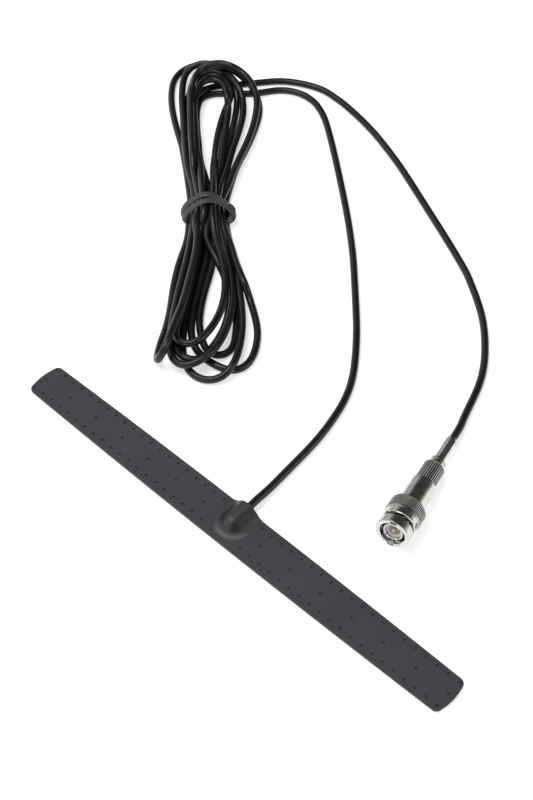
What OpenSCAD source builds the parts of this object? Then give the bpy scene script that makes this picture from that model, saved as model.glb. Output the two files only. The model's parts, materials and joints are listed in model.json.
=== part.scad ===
// Stick-on strip antenna for a two-way radio, with a thin coaxial cable in a tied hank
// and a bayonet plug. Millimetres. X runs along the strip, Y points to the side that the
// cable leaves, and Z is up. The origin is the middle of the strip's underside.

/* [Strip] */
// Overall length of the moulded strip
strip_length = 206; // [160:1:260]
// Width of the strip at its middle
strip_width = 17.4; // [16:0.2:24]
// Width that the shallow side arcs take off at the ends
side_taper = 2; // [0:0.1:3]
// How far the end edges bow out
end_bow = 0.7; // [0.2:0.1:2]
// Corner radius in plan
corner_r = 2.2; // [1.8:0.1:4]
// Thickness of the moulded cover
cover_t = 1.4; // [1.2:0.1:2.4]
// Rounding of the cover's upper edge
edge_r = 0.5; // [0.2:0.05:0.8]

/* [Mould marks] */
// Spacing of the mark columns along the strip
mark_pitch = 4.8; // [4:0.1:7]
// Distance of the two outer rows from the middle line
mark_row_y = 5.9; // [5:0.1:6.5]
// Diameter of one mark
mark_d = 1.3; // [0.8:0.1:2]
// Depth of one mark
mark_depth = 0.4; // [0.2:0.05:0.45]
// Bare length left past the last column at each end
mark_margin = 2.2; // [1.5:0.1:4]

/* [Cable boss] */
// Height of the boss above the cover
boss_h = 4.1; // [3.8:0.1:6]
// Reach of the boss's skirt from its ridge line
boss_r = 6.8; // [6.4:0.1:9]
// How far the rounded nose reaches past the strip's middle line
boss_nose = 6; // [5:0.1:7]
// Height of the cable's axis above the strip's underside
exit_z = 3.2; // [2.9:0.1:3.5]

/* [Layers] */
// Thickness of the foam adhesive tape
tape_t = 0.6; // [0.4:0.1:1.2]
// Margin between the tape and the cover's edge
tape_inset = 0.5; // [0.2:0.1:1.5]
// Thickness of the flexible film that carries the foil
film_t = 0.2; // [0.1:0.05:0.3]
// Margin between the film and the cover's edge
film_inset = 1.2; // [0.8:0.1:1.6]
// Thickness of the copper foil
foil_t = 0.1; // [0.05:0.05:0.2]
// Width of each foil arm
arm_width = 9; // [5:0.5:11]
// Bare film between a foil arm's outer end and the cover's end
arm_margin = 6; // [4:0.5:20]
// Gap between the two arms at the feed point
feed_gap = 1.2; // [0.8:0.1:2]

/* [Cable] */
// Outer diameter of the jacket
cable_d = 3.1; // [2.6:0.1:3.2]
// Diameter of the inner insulation
dielectric_d = 1.5; // [1.2:0.1:1.6]
// Diameter of the inner wire
core_d = 0.5; // [0.3:0.1:0.6]
// Diameter of the gathered braid at the feed point
pigtail_d = 0.8; // [0.6:0.1:1]

/* [Hank] */
// Height of the loose loops at both ends
hank_h = 11; // [8:0.5:14]
// Width of the waist under the tie
waist_width = 17.9; // [14:0.1:20]
// Height of the strands at the waist
waist_h = 10.7; // [8:0.1:11]
// Width of the top layer of strands at the waist
waist_top = 6.8; // [6:0.1:11]
// Width of the tie
tie_width = 5; // [3:0.5:8]
// Thickness of the tie
tie_t = 0.8; // [0.5:0.1:1.2]

/* [Plug rear] */
// Length of the crimp ferrule
ferrule_length = 12.6; // [11:0.1:16]
// Outer diameter of the ferrule's round ends
ferrule_d = 4.3; // [4.2:0.1:5]
// Width across the flats where the ferrule is crimped
crimp_flats = 4; // [3.8:0.1:4.4]
// Length of the grooved collar
collar_length = 3.4; // [2:0.1:5]
// Diameter of the grooved collar
collar_d = 6.2; // [5.6:0.1:7]
// Length of the fluted clamp nut
nut_length = 10.2; // [8:0.1:14]
// Diameter over the nut's flutes
nut_d = 8.4; // [8:0.1:9.6]
// Number of flutes
flute_count = 30; // [20:1:40]
// Length of the smooth barrel
barrel_length = 12.5; // [11:0.1:16]
// Diameter of the smooth barrel
barrel_d = 10.4; // [9.8:0.1:11]

/* [Coupling] */
// Length of the coupling sleeve
sleeve_length = 14.2; // [14:0.1:16]
// Diameter over the sleeve's knurl
knurl_d = 14.2; // [13.8:0.1:16]
// Length of the knurled band
knurl_length = 5.8; // [5:0.1:6.4]
// Number of knurl ridges
knurl_count = 60; // [40:1:72]
// Diameter of the smooth band with the detent holes
band_d = 13; // [12.6:0.1:13.6]
// Length of the smooth band
band_length = 2.9; // [2.4:0.1:3.4]
// Diameter of the neck groove
neck_d = 12; // [11.8:0.1:12.4]
// Length of the neck groove
neck_length = 1.8; // [1:0.1:2.4]
// Diameter of the front ring
front_d = 13.5; // [13.2:0.1:14]
// Bore that the mating socket slides into
sleeve_bore = 9.8; // [9.7:0.05:10]
// Axial width of the bayonet slot
slot_width = 2.5; // [2.3:0.1:2.8]
// Diameter of the detent hole at the end of the slot
detent_d = 2.4; // [2.2:0.1:2.6]
// Turn between the slot's mouth and its detent hole
slot_turn = 78; // [60:1:90]
// Forward travel of the sleeve against the wave washer
sleeve_travel = 0.9; // [0.5:0.1:1]

/* [Contacts] */
// Outside diameter of the slotted outer contact
contact_d = 8.1; // [8:0.05:8.2]
// Wall of the outer contact
contact_wall = 0.8; // [0.6:0.05:0.9]
// How far the outer contact stands back from the sleeve's front face
contact_recess = 1; // [0.6:0.1:1.6]
// Diameter of the centre pin
pin_d = 1.35; // [1.3:0.01:1.4]
// How far the pin's tip stands back from the outer contact's tip
pin_recess = 0.3; // [0.1:0.1:1]
// Diameter of the socket in the insulator
insulator_bore = 4.85; // [4.8:0.05:5]

/* [Placing] */
// Plug's cable entry along the strip
plug_x = 34.5; // [30:0.5:60]
// Plug's cable entry across the strip
plug_y = 84; // [80:1:120]
// Heading of the plug's front, turned about Z
plug_heading = -75.6; // [-90:0.1:-60]
// Nose-up lean of the plug, which lies on its knurl and its cable
plug_lean = 6; // [4:0.1:8]

/* [Hidden] */
$fn = 48;

// Clearance between fixed pieces that slide together at assembly
fit_gap = 0.03;
// Running clearance between the sleeve and the plug body, on the radius
run_gap = 0.06;
// Play between the washer and the rings that turn beside it, along the plug's axis
turn_gap = 0.05;
// Clearance between two stretches of the cable, end to end
butt_gap = 0.2;
// Overcut that keeps a cutter's end clear of the face it opens
over = 0.5;

// Heights of the strip's layers
film_z = tape_t;
foil_z = film_z + film_t;
foil_top = foil_z + foil_t;
cover_z = tape_t;
cover_top = cover_z + cover_t;

// Feed point under the boss
edge_y = strip_width / 2;
ridge_y = boss_r - boss_nose;
bell_fullness = 1.35;
jacket_end_y = 2;
dielectric_end_y = 0.5;
pad_x = 1.6;
pad_y = -1.5;
pad_d = 2.2;
pad_h = 0.7;
braid_start = [-0.7, jacket_end_y + 0.3, exit_z];
braid_tip = [-pad_x, pad_y, foil_top + pigtail_d / 2 + 0.1];
core_start = [0, dielectric_end_y + 0.2, exit_z];
core_tip = [pad_x, pad_y, foil_top + core_d / 2 + 0.1];

// Columns of mould marks on each side of the middle
mark_columns = floor((strip_length / 2 - mark_margin) / mark_pitch);
bare_columns = floor(boss_r / mark_pitch);
middle_row_step = 3;

// Stations along the plug's axis, measured from the cable entry
collar_s = ferrule_length;
nut_s = collar_s + collar_length;
barrel_s = nut_s + nut_length;
barrel_front = barrel_s + barrel_length;
sleeve_gap = 0.3;
sleeve_s = barrel_front + sleeve_gap;
sleeve_front = sleeve_s + sleeve_length;
shoulder_s = sleeve_s + knurl_length + 0.1;
flange_t = 1.2;
flange_s = shoulder_s - flange_t;
washer_t = 0.5;
wave_t = 0.2;
wave_h = sleeve_travel + wave_t + 0.1;
washer_s = flange_s - wave_h - washer_t;
ring_t = 0.7;
ring_s = washer_s - turn_gap - ring_t;
contact_front = sleeve_front - contact_recess;
pin_front = contact_front - pin_recess;
insulator_s = barrel_front + 0.8;
insulator_front = contact_front - 1;
socket_depth = 4.2;

// Diameters inside the plug
flange_d = 11.5;
chamber_d = flange_d + 2 * run_gap;
ring_d = chamber_d + 1.1;
journal_d = 8.6;
shank_d = 6.2;
stem_d = 5;
stem_tube_d = 2.3;
spigot_d = 7.6;
spigot_length = 3.4;
shoulder_t = 1.4;
seal_t = 1.6;
seal_s = barrel_s + spigot_length + shoulder_t;
shank_s = seal_s + seal_t + 1;
body_bore = 3.6;
contact_bore = contact_d - 2 * contact_wall;
cup_d = 2;
cup_s = shank_s + 1.8;
cup_depth = 3;
jacket_in = 10;
gasket_t = 1.4;
gasket_seat_d = contact_d - 0.5;

// Knurl and flute depths, and the rims beside the knurl
knurl_depth = 0.3;
flute_depth = 0.35;
rim_t = 0.5;
rim_drop = 0.5;
chamfer = 0.35;

// Bayonet slot in the sleeve's wall
slot_depth = 1.25;
slot_mouth = 3;
slot_r0 = sleeve_bore / 2 - 0.4;
slot_r1 = sleeve_bore / 2 + slot_depth;
detent_back = 6.9;
slot_steps = 14;

// The plug lies on the rear end of its knurl's ridges
plug_z = knurl_d / 2 * cos(plug_lean) - (sleeve_s + rim_t) * sin(plug_lean);
plug_entry = [plug_x, plug_y, plug_z];
plug_axis = [
    cos(plug_heading) * cos(plug_lean),
    sin(plug_heading) * cos(plug_lean),
    sin(plug_lean),
];

// Hank, in its own frame: its axis is turned this far and its tie is at this place
hank_place = [-120, 110];
hank_turn = 43.1;

// Cable centre lines: from the boss to the hank, and from the plug to the hank
lie_z = 1.6;
lead_points = [
    [0, edge_y + butt_gap, exit_z], [-0.4, 14, 2.9], [-0.8, 21, 2.2], [-2, 34, lie_z],
    [-2.8, 44.2, lie_z], [-3.9, 52.9, lie_z], [-5.6, 61.3, lie_z], [-7.8, 69.3, lie_z],
    [-10.8, 76.8, lie_z], [-14.6, 83.6, lie_z], [-19.1, 90, lie_z], [-29.1, 102.4, lie_z],
    [-45.9, 120.6, lie_z], [-64.2, 139.1, lie_z], [-84.7, 157.5, lie_z], [-99.4, 169.9, lie_z],
    [-114.7, 182.4, lie_z], [-123, 188.6, lie_z], [-132.7, 193.7, lie_z], [-142, 195.6, lie_z],
    [-149.5, 193.6, lie_z], [-154.4, 188, lie_z], [-157, 179, lie_z],
];
tail_points = [
    plug_entry - butt_gap * plug_axis, [32.7, 91, 2.3], [30, 98.5, 1.7],
    [25.6, 110.9, lie_z], [18.2, 125, lie_z], [8.3, 137.4, lie_z], [-4, 148.4, lie_z],
    [-18.2, 158.2, lie_z], [-34.6, 166.8, lie_z], [-52, 175.5, lie_z], [-69.9, 184.2, lie_z],
    [-89.1, 192.8, lie_z], [-105, 198.3, lie_z], [-118, 201.7, lie_z], [-130, 203.4, lie_z],
    [-140.5, 203.2, lie_z], [-150, 200.4, lie_z], [-156.8, 195.3, lie_z],
    [-161.3, 188.5, lie_z], [-164.5, 180, lie_z],
];
cable_sides = 8;

// Half width of the strip at a distance x from its middle
function half_width(x) = strip_width / 2 - side_taper / 2 * pow(x / (strip_length / 2), 2);

// One quarter of the strip's plan, from the middle of a side to the middle of an end
function quarter(inset) =
    let (
        cx = strip_length / 2 - end_bow - corner_r,
        cy = half_width(cx) - corner_r,
        r = corner_r - inset
    )
    concat(
        [for (i = [0:10]) let (x = cx * i / 10) [x, half_width(x) - inset]],
        [for (i = [1:6]) let (a = 90 - 15 * i) [cx + r * cos(a), cy + r * sin(a)]],
        [for (i = [3:-1:0]) let (y = cy * i / 4)
            [strip_length / 2 - inset - end_bow * pow(y / cy, 2), y]]
    );

// Closed plan of the strip, drawn in from its edge by inset
function strip_plan(inset) =
    let (q = quarter(inset), n = len(q))
    concat(
        q,
        [for (i = [n - 2:-1:0]) [q[i][0], -q[i][1]]],
        [for (i = [1:n - 1]) [-q[i][0], -q[i][1]]],
        [for (i = [n - 2:-1:1]) [-q[i][0], q[i][1]]]
    );

// Height of the boss at a distance d from its ridge line: a full crown and a short skirt
function bell(d) = boss_h * (1 + cos(180 * pow(min(d / boss_r, 1), bell_fullness))) / 2;

// Point on a smooth curve through four route points, at u from 0 to 1 between b and c
function blend_point(a, b, c, d, u) =
    0.5 * (2 * b + (c - a) * u + (2 * a - 5 * b + 4 * c - d) * u * u
        + (3 * b - a - 3 * c + d) * u * u * u);

// Route with one extra point halfway along each stretch
function smooth_route(p) =
    let (n = len(p))
    concat(
        [for (i = [0:n - 2], u = [0, 0.5])
            blend_point(p[max(i - 1, 0)], p[i], p[i + 1], p[min(i + 2, n - 1)], u)],
        [p[n - 1]]
    );

// A slab of the strip's plan
module strip_slab(inset, z, h) {
    translate([0, 0, z]) linear_extrude(h) polygon(strip_plan(inset));
}

// Round rod between two points
module rod(a, b, d) {
    v = b - a;
    translate(a)
        rotate([0, acos(v[2] / norm(v)), atan2(v[1], v[0])])
        cylinder(h = norm(v), d = d);
}

// Tube swept along a route, its rings square to the route
module cable_tube(route, d) {
    p = smooth_route(route);
    n = len(p);
    rings = [
        for (i = [0:n - 1])
            let (
                t = p[min(i + 1, n - 1)] - p[max(i - 1, 0)],
                side = cross(t, [0, 0, 1]) / norm(cross(t, [0, 0, 1])),
                up = cross(side, t) / norm(t)
            )
            for (k = [0:cable_sides - 1])
                let (a = 360 * (k + 0.5) / cable_sides)
                p[i] + d / 2 * (cos(a) * side + sin(a) * up)
    ];
    walls = [
        for (i = [0:n - 2], k = [0:cable_sides - 1])
            let (m = (k + 1) % cable_sides, b = i * cable_sides)
            [b + k, b + cable_sides + k, b + cable_sides + m, b + m]
    ];
    start_cap = [for (k = [0:cable_sides - 1]) k];
    end_cap = [for (k = [cable_sides - 1:-1:0]) (n - 1) * cable_sides + k];
    polyhedron(rings, concat([start_cap, end_cap], walls));
}

// Turned ring along the plug's axis
module turned_ring(s, length, outer, inner) {
    translate([0, 0, s]) rotate_extrude()
        polygon([[inner / 2, 0], [outer / 2, 0], [outer / 2, length], [inner / 2, length]]);
}

// Straight-ridged ring: count ridges, each depth high
module ridged_ring(s, length, outer, inner, count, depth) {
    step = 360 / count;
    outline = [
        for (i = [0:count - 1], part = [0, 0.3, 0.6])
            let (r = part == 0.6 ? outer / 2 - depth : outer / 2)
            [r * cos((i + part) * step), r * sin((i + part) * step)]
    ];
    translate([0, 0, s]) difference() {
        linear_extrude(length) polygon(outline);
        translate([0, 0, -over]) cylinder(h = length + 2 * over, d = inner);
    }
}

// Puts a piece drawn along +Z onto the plug's axis
module on_plug() {
    translate(plug_entry)
        rotate([0, 0, plug_heading])
        rotate([0, 90 - plug_lean, 0])
        children();
}

// Puts a piece drawn in the hank's plan onto the floor where the hank lies
module on_hank() {
    translate([hank_place[0], hank_place[1], 0]) rotate([0, 0, hank_turn]) children();
}

// Outside of the moulded cover: a flat strip with a rounded rim, and the boss
module cover_body() {
    steps = 4;
    hull() for (k = [0:steps])
        strip_slab(edge_r * (1 - cos(90 * k / steps)), cover_z,
            cover_t - edge_r + edge_r * sin(90 * k / steps));
    root = cover_t / 2;
    half = [for (i = [0:16]) let (d = boss_r * i / 16) [d, bell(d)]];
    translate([0, ridge_y, cover_top]) {
        rotate_extrude() polygon(concat([[0, -root]], half, [[boss_r, -root]]));
        rotate([90, 0, 180]) linear_extrude(edge_y - ridge_y)
            polygon(concat(
                [[-boss_r, -root]],
                [for (i = [16:-1:1]) [-half[i][0], half[i][1]]],
                half,
                [[boss_r, -root]]
            ));
    }
}

// Blind round marks in two rows and a sparse middle row, left out under the boss
module mould_marks() {
    for (i = [-mark_columns:mark_columns]) {
        rows = abs(i) <= bare_columns ? []
            : (i % middle_row_step == 0 ? [-1, 0, 1] : [-1, 1]);
        for (row = rows)
            translate([i * mark_pitch, row * mark_row_y, cover_top - mark_depth])
                cylinder(h = mark_depth + over, d = mark_d, $fn = 24);
    }
}

// Room inside the boss for the cable's end and the two soldered joints
module feed_pocket() {
    wire_half = pad_x + pigtail_d / 2 + 0.1;
    joint_half = pad_x + pad_d / 2 + 0.3;
    joint_back = pad_y - pad_d / 2 - 0.3;
    translate([0, edge_y + over, exit_z]) rotate([90, 0, 0])
        cylinder(h = edge_y + over - jacket_end_y + fit_gap, d = cable_d + 2 * fit_gap);
    translate([-wire_half, pad_y - 0.2, cover_z])
        cube([2 * wire_half, jacket_end_y - pad_y + 0.3, exit_z + dielectric_d / 2 - cover_z]);
    translate([-joint_half, joint_back, cover_z])
        cube([2 * joint_half, jacket_end_y - joint_back, foil_top + pad_h + 0.2 - cover_z]);
}

module antenna_cover() {
    color([0.23, 0.24, 0.26]) difference() {
        cover_body();
        strip_slab(film_inset - 0.1, cover_z - over, foil_top - cover_z + over);
        mould_marks();
        feed_pocket();
    }
}

module antenna_film() {
    color([0.72, 0.45, 0.12]) strip_slab(film_inset, film_z, film_t);
}

// One foil arm, on the side given by the sign
module foil_arm(side) {
    length = strip_length / 2 - arm_margin - feed_gap / 2;
    start = side > 0 ? feed_gap / 2 : -feed_gap / 2 - length;
    color([0.78, 0.45, 0.25]) translate([start, -arm_width / 2, foil_z])
        cube([length, arm_width, foil_t]);
}

module live_arm() {
    foil_arm(1);
}

module ground_arm() {
    foil_arm(-1);
}

module adhesive_tape() {
    color([0.86, 0.86, 0.84]) strip_slab(tape_inset, 0, tape_t);
}

// Bare ends of the inner wire and of the gathered braid, at their soldering pads
module core_wire(d) {
    rod(core_start, core_tip, d);
    rod([0, jacket_end_y, exit_z], core_start, d);
}

module braid_wire(d) {
    rod(braid_start, braid_tip, d);
}

module antenna_cable_end() {
    color([0.12, 0.12, 0.13]) {
        rod([0, edge_y, exit_z], [0, jacket_end_y, exit_z], cable_d);
        rod([0, jacket_end_y + 0.2, exit_z], [0, dielectric_end_y, exit_z], dielectric_d);
        core_wire(core_d);
        braid_wire(pigtail_d);
    }
}

// Mound of solder on one pad
module solder_mound(side) {
    translate([side * pad_x, pad_y, foil_top])
        cylinder(h = pad_h, d1 = pad_d, d2 = pad_d * 0.5);
}

module core_solder() {
    color([0.75, 0.75, 0.77]) difference() {
        solder_mound(1);
        core_wire(core_d + 2 * fit_gap);
    }
}

module braid_solder() {
    color([0.75, 0.75, 0.77]) difference() {
        solder_mound(-1);
        braid_wire(pigtail_d + 2 * fit_gap);
    }
}

module cable_lead() {
    color([0.13, 0.13, 0.14]) cable_tube(lead_points, cable_d);
}

module cable_tail() {
    color([0.13, 0.13, 0.14]) cable_tube(tail_points, cable_d);
}

// Domed bundle of strands at the waist, drawn out by grow on every side
module waist_block(length, grow) {
    half = waist_width / 2 + grow;
    top_half = waist_top / 2 + grow;
    low = tie_t - grow;
    high = tie_t + waist_h + grow;
    flank_share = 0.35;
    flank = tie_t + flank_share * waist_h;
    translate([0, length / 2, 0]) rotate([90, 0, 0]) linear_extrude(length)
        polygon([[-half, low], [half, low], [half, flank], [top_half, high],
            [-top_half, high], [-half, flank]]);
}

// The hank: two lobes of loose loops and the waist that the tie holds
module cable_hank() {
    waist_r = waist_width / 2;
    waist_reach = 9;
    color([0.15, 0.15, 0.16]) on_hank() {
        linear_extrude(hank_h) hull() {
            translate([0, waist_r + waist_reach]) circle(waist_r);
            translate([1.5, 64]) circle(21.5);
            translate([0.5, 80.5]) circle(17.5);
        }
        linear_extrude(hank_h) hull() {
            translate([0, -waist_r - waist_reach]) circle(waist_r);
            translate([2.5, -70]) circle(20);
            translate([2, -86]) circle(11.5);
        }
        waist_block(2 * (waist_r + waist_reach), 0);
    }
}

// Band round the waist, and its two ends twisted together at the side
module cable_tie() {
    knot_d = 2.4;
    knot_x = waist_width / 2 + tie_t / 2 + knot_d / 2;
    color([0.3, 0.31, 0.32]) on_hank() {
        difference() {
            waist_block(tie_width, tie_t);
            waist_block(2 * tie_width, 0);
        }
        rod([knot_x, tie_width / 2, waist_h / 2], [knot_x, -tie_width - 3, knot_d], knot_d);
    }
}

// Cable's end in the plug: the jacket and braid are pushed over the stem's tube
module plug_cable_end() {
    tube_s = ferrule_length - jacket_in;
    color([0.12, 0.12, 0.13]) on_plug() rotate_extrude() polygon([
        [0, 0],
        [cable_d / 2, 0],
        [cable_d / 2, ferrule_length - fit_gap],
        [stem_tube_d / 2 + fit_gap, ferrule_length - fit_gap],
        [stem_tube_d / 2 + fit_gap, tube_s],
        [dielectric_d / 2, tube_s],
        [dielectric_d / 2, cup_s - 0.1],
        [core_d / 2, cup_s - 0.1],
        [core_d / 2, cup_s + cup_depth - 0.1],
        [0, cup_s + cup_depth - 0.1],
    ]);
}

// Thin tube over the cable's end, crimped to six flats between its round ends
module crimp_ferrule() {
    end_t = 1;
    color([0.72, 0.72, 0.7]) on_plug() difference() {
        union() {
            cylinder(h = end_t, d = ferrule_d);
            intersection() {
                translate([0, 0, end_t / 2])
                    cylinder(h = ferrule_length - end_t, d = crimp_flats / cos(30), $fn = 6);
                cylinder(h = ferrule_length, d = ferrule_d + 0.1);
            }
            translate([0, 0, ferrule_length - end_t]) cylinder(h = end_t, d = ferrule_d);
        }
        translate([0, 0, -over])
            cylinder(h = ferrule_length + 2 * over, d = cable_d + 2 * fit_gap);
    }
}

// Stem: a thin tube under the braid, the grooved collar, and a shank with a shoulder
module crimp_stem() {
    tube_s = ferrule_length - jacket_in + 0.1;
    groove_s = collar_s + collar_length * 0.25;
    groove_t = collar_length * 0.3;
    groove_d = collar_d - 0.9;
    bore = dielectric_d + 2 * fit_gap;
    spigot_end = barrel_s + spigot_length;
    color([0.74, 0.74, 0.72]) on_plug() rotate_extrude() polygon([
        [bore / 2, tube_s],
        [stem_tube_d / 2, tube_s],
        [stem_tube_d / 2, collar_s],
        [collar_d / 2, collar_s],
        [collar_d / 2, groove_s],
        [groove_d / 2, groove_s],
        [groove_d / 2, groove_s + groove_t],
        [collar_d / 2, groove_s + groove_t],
        [collar_d / 2, nut_s],
        [stem_d / 2, nut_s],
        [stem_d / 2, spigot_end],
        [spigot_d / 2, spigot_end],
        [spigot_d / 2, seal_s],
        [stem_d / 2, seal_s],
        [stem_d / 2, shank_s - 0.2],
        [bore / 2, shank_s - 0.2],
    ]);
}

// Fluted nut whose spigot screws into the barrel and clamps the stem's shoulder
module clamp_nut() {
    bore = stem_d + 2 * fit_gap;
    core = nut_d - 2 * flute_depth - 0.2;
    color([0.7, 0.7, 0.68]) on_plug() {
        ridged_ring(nut_s + rim_t, nut_length - 2 * rim_t, nut_d, core - 0.6, flute_count,
            flute_depth);
        rotate_extrude() polygon([
            [bore / 2, nut_s],
            [core / 2, nut_s],
            [core / 2, barrel_s],
            [spigot_d / 2, barrel_s],
            [spigot_d / 2, barrel_s + spigot_length],
            [bore / 2, barrel_s + spigot_length],
        ]);
    }
}

module cable_seal() {
    color([0.2, 0.2, 0.2]) on_plug()
        turned_ring(seal_s, seal_t, spigot_d, stem_d + 2 * fit_gap);
}

// Smooth barrel: the nut screws in at the rear and the body's shank is pressed in the front
module rear_barrel() {
    rear_bore = spigot_d + 2 * fit_gap;
    front_bore = shank_d + 2 * fit_gap;
    step_s = seal_s + seal_t;
    color([0.76, 0.76, 0.75]) on_plug() rotate_extrude() polygon([
        [rear_bore / 2, barrel_s],
        [barrel_d / 2 - chamfer, barrel_s],
        [barrel_d / 2, barrel_s + chamfer],
        [barrel_d / 2, barrel_front - chamfer],
        [barrel_d / 2 - chamfer, barrel_front],
        [front_bore / 2, barrel_front],
        [front_bore / 2, step_s],
        [rear_bore / 2, step_s],
    ]);
}

// Body: shank, journal, flange and the slotted outer contact, turned in one piece
module plug_body() {
    tip_t = 0.8;
    slit = 0.5;
    slit_length = 5.5;
    color([0.78, 0.77, 0.73]) on_plug() difference() {
        rotate_extrude() polygon([
            [body_bore / 2, shank_s],
            [shank_d / 2, shank_s],
            [shank_d / 2, barrel_front],
            [journal_d / 2, barrel_front],
            [journal_d / 2, flange_s],
            [flange_d / 2, flange_s],
            [flange_d / 2, shoulder_s],
            [gasket_seat_d / 2, shoulder_s],
            [gasket_seat_d / 2, shoulder_s + gasket_t],
            [contact_d / 2, shoulder_s + gasket_t],
            [contact_d / 2, contact_front - tip_t],
            [contact_d / 2 - 0.3, contact_front],
            [contact_bore / 2, contact_front],
            [contact_bore / 2, insulator_s],
            [body_bore / 2, insulator_s],
        ]);
        for (a = [45, 135])
            rotate([0, 0, a])
                translate([-contact_d, -slit / 2, contact_front - slit_length])
                cube([2 * contact_d, slit, slit_length + over]);
    }
}

// Insulator with the socket that takes the mating insulator
module insulator() {
    pin_bore = cup_d + 2 * fit_gap;
    outer = contact_bore - 2 * fit_gap;
    color([0.9, 0.9, 0.87]) on_plug() rotate_extrude() polygon([
        [pin_bore / 2, insulator_s],
        [outer / 2, insulator_s],
        [outer / 2, insulator_front],
        [insulator_bore / 2, insulator_front],
        [insulator_bore / 2, insulator_front - socket_depth],
        [pin_bore / 2, insulator_front - socket_depth],
    ]);
}

// Centre pin with a tapered tip, and a thicker root with a solder cup at its rear
module centre_pin() {
    cup_bore = core_d + 2 * fit_gap;
    tip_length = 0.8;
    tip_d = 0.6;
    color([0.85, 0.65, 0.25]) on_plug() rotate_extrude() polygon([
        [cup_bore / 2, cup_s],
        [cup_d / 2, cup_s],
        [cup_d / 2, insulator_front - socket_depth],
        [pin_d / 2, insulator_front - socket_depth],
        [pin_d / 2, pin_front - tip_length],
        [tip_d / 2, pin_front],
        [0, pin_front],
        [0, cup_s + cup_depth],
        [cup_bore / 2, cup_s + cup_depth],
    ]);
}

module face_gasket() {
    color([0.35, 0.12, 0.1]) on_plug()
        turned_ring(shoulder_s, gasket_t, sleeve_bore - 0.3, gasket_seat_d + 2 * fit_gap);
}

// Spring washer with three waves, between the body's flange and the thrust washer
module wave_washer() {
    waves = 3;
    steps = 36;
    outer = flange_d - 0.3;
    inner = journal_d + 0.5;
    amplitude = (wave_h - wave_t - 0.04) / 2;
    middle = flange_s - wave_h / 2;
    points = [
        for (i = [0:steps - 1], c = [[inner, -1], [outer, -1], [outer, 1], [inner, 1]])
            let (a = 360 * i / steps)
            [c[0] / 2 * cos(a), c[0] / 2 * sin(a),
                middle + amplitude * cos(waves * a) + c[1] * wave_t / 2]
    ];
    faces = [
        for (i = [0:steps - 1], k = [0:3])
            let (j = (i + 1) % steps, m = (k + 1) % 4)
            [4 * i + k, 4 * i + m, 4 * j + m, 4 * j + k]
    ];
    color([0.6, 0.6, 0.62]) on_plug() polyhedron(points, faces);
}

module thrust_washer() {
    color([0.66, 0.66, 0.66]) on_plug()
        turned_ring(washer_s, washer_t, chamber_d - 0.3, journal_d + 0.3);
}

// Split ring that sits in the sleeve's groove and keeps the washers in
module retaining_ring() {
    split = 2;
    inner = journal_d + 0.8;
    color([0.6, 0.6, 0.62]) on_plug() difference() {
        turned_ring(ring_s, ring_t, ring_d - 2 * fit_gap, inner);
        translate([0, -split / 2, ring_s - over]) cube([ring_d, split, ring_t + 2 * over]);
    }
}

// One helical bayonet slot, cut from the bore into the wall
module slot_cutter() {
    mouth_s = sleeve_front - slot_mouth;
    detent_s = sleeve_front - detent_back;
    points = [
        for (i = [0:slot_steps])
            let (
                u = i / slot_steps,
                a = -slot_turn * u,
                s = mouth_s + (detent_s - mouth_s) * u
            )
            for (c = [[slot_r0, -1], [slot_r1, -1], [slot_r1, 1], [slot_r0, 1]])
                [c[0] * cos(a), c[0] * sin(a), s + c[1] * slot_width / 2]
    ];
    last = 4 * slot_steps;
    faces = concat(
        [[0, 1, 2, 3], [last + 3, last + 2, last + 1, last]],
        [for (i = [0:slot_steps - 1], k = [0:3])
            let (b = 4 * i, m = (k + 1) % 4)
            [b + k, b + 4 + k, b + 4 + m, b + m]]
    );
    polyhedron(points, faces);
    translate([slot_r0 - 1, -slot_width / 2, mouth_s - slot_width / 2])
        cube([slot_r1 - slot_r0 + 1, slot_width, slot_mouth + slot_width]);
    rotate([0, 0, -slot_turn]) translate([0, 0, detent_s]) rotate([0, 90, 0])
        cylinder(h = band_d, d = detent_d);
}

// Sleeve that turns and slides on the body: knurl, smooth band, neck and front ring
module coupling_sleeve() {
    band_s = sleeve_s + knurl_length;
    neck_s = band_s + band_length;
    front_s = neck_s + neck_length;
    core_d = knurl_d - 2 * knurl_depth - 0.2;
    rim_d = knurl_d - rim_drop;
    color([0.77, 0.77, 0.75]) on_plug() {
        ridged_ring(sleeve_s + rim_t, knurl_length - 2 * rim_t, knurl_d, core_d - 0.4,
            knurl_count, knurl_depth);
        difference() {
            rotate_extrude() polygon([
                [chamber_d / 2, sleeve_s],
                [rim_d / 2, sleeve_s],
                [rim_d / 2, sleeve_s + rim_t],
                [core_d / 2, sleeve_s + rim_t],
                [core_d / 2, band_s - rim_t],
                [rim_d / 2, band_s - rim_t],
                [rim_d / 2, band_s],
                [band_d / 2, band_s],
                [band_d / 2, neck_s],
                [neck_d / 2, neck_s + 0.3],
                [neck_d / 2, front_s],
                [front_d / 2 - chamfer, front_s],
                [front_d / 2, front_s + chamfer],
                [front_d / 2, sleeve_front - chamfer],
                [front_d / 2 - chamfer, sleeve_front],
                [sleeve_bore / 2 + 0.2, sleeve_front],
                [sleeve_bore / 2, sleeve_front - 0.2],
                [sleeve_bore / 2, shoulder_s],
                [chamber_d / 2, shoulder_s],
                [chamber_d / 2, washer_s + 0.05],
                [ring_d / 2, washer_s + 0.05],
                [ring_d / 2, ring_s - 0.05],
                [chamber_d / 2, ring_s - 0.05],
            ]);
            for (a = [0, 180]) rotate([0, 0, a]) slot_cutter();
        }
    }
}

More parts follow.
